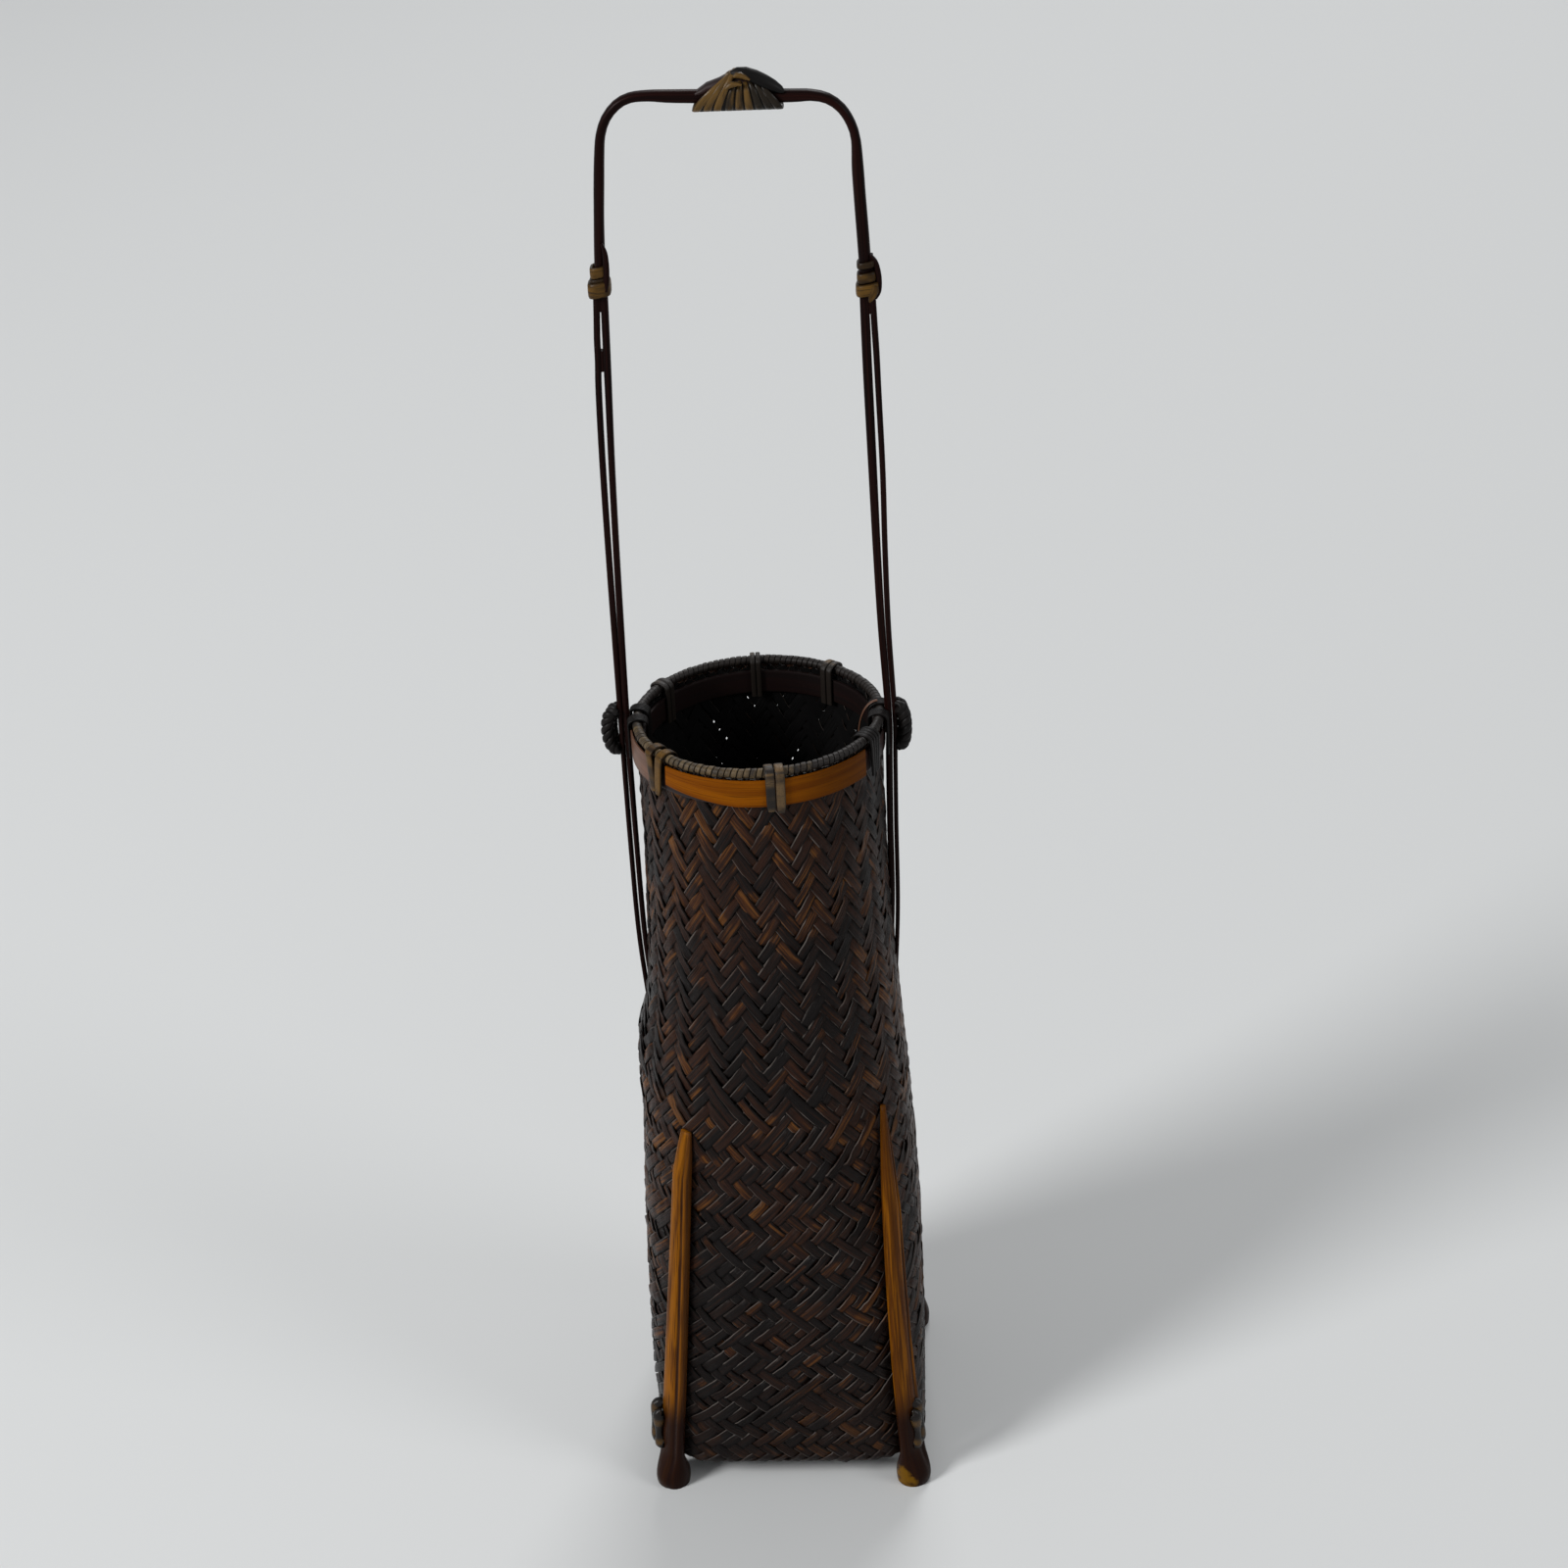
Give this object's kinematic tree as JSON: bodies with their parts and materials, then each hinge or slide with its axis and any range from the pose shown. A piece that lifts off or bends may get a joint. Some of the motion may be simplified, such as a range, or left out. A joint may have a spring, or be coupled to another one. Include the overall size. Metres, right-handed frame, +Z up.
{
  "type": "woven flower basket",
  "caption": "Tall plaited bamboo flower basket, square at the base and round at the mouth, on split-bamboo legs, with a slender bow handle and a lift-out water tube.",
  "frame": {"origin": "on the ground under the middle of the basket", "axes": "+Z up along the basket, -Y to the front, +X to the right as seen from the front"},
  "size_m": [0.1232, 0.1215, 0.5996],
  "materials": {
    "smoked_bamboo": "smoked and stained plaited bamboo, satin, dark brown with redder strips",
    "golden_bamboo": "lacquered golden bamboo with fine lengthwise grain",
    "dark_bamboo": "dark red-brown polished bamboo",
    "leg_bamboo": "golden brown split bamboo with dark streaks, polished",
    "rattan": "olive brown split rattan, satin",
    "dark_rattan": "near-black stained split rattan, satin",
    "tube_bamboo": "plain dried bamboo culm"
  },
  "bodies": {
    "basket": {"woven_body": "smoked_bamboo", "rim_outer_band": "golden_bamboo", "rim_inner_band": "dark_bamboo", "rim_coil": "rattan", "rim_lashing_front": "rattan", "rim_lashing_front_right": "rattan", "rim_lashing_back_right": "rattan", "rim_lashing_back": "rattan", "rim_lashing_back_left": "rattan", "rim_lashing_front_left": "rattan", "handle_tie_left_front": "dark_rattan", "handle_tie_left_back": "dark_rattan", "handle_tie_right_front": "dark_rattan", "handle_tie_right_back": "dark_rattan", "handle_bow": "dark_bamboo", "handle_strip_left_inner": "dark_bamboo", "handle_strip_left_outer": "dark_bamboo", "handle_strip_right_inner": "dark_bamboo", "handle_strip_right_outer": "dark_bamboo", "handle_knot_left": "dark_rattan", "handle_knot_right": "dark_rattan", "handle_lashing_left": "rattan", "handle_lashing_right": "rattan", "top_knot_winding": "rattan", "top_knot_core": "rattan", "leg_back_right": "leg_bamboo", "leg_back_left": "leg_bamboo", "leg_front_left": "leg_bamboo", "leg_front_right": "leg_bamboo", "leg_knot_back_right": "dark_rattan", "leg_knot_back_left": "dark_rattan", "leg_knot_front_left": "dark_rattan", "leg_knot_front_right": "dark_rattan"},
    "water_tube": {"water_tube": "tube_bamboo"}
  },
  "joints": [
    {"name": "water_tube_lift", "type": "slide", "parent": "basket", "child": "water_tube", "axis": [0, 0, 1], "range_m": [0, 0.34]}
  ]
}
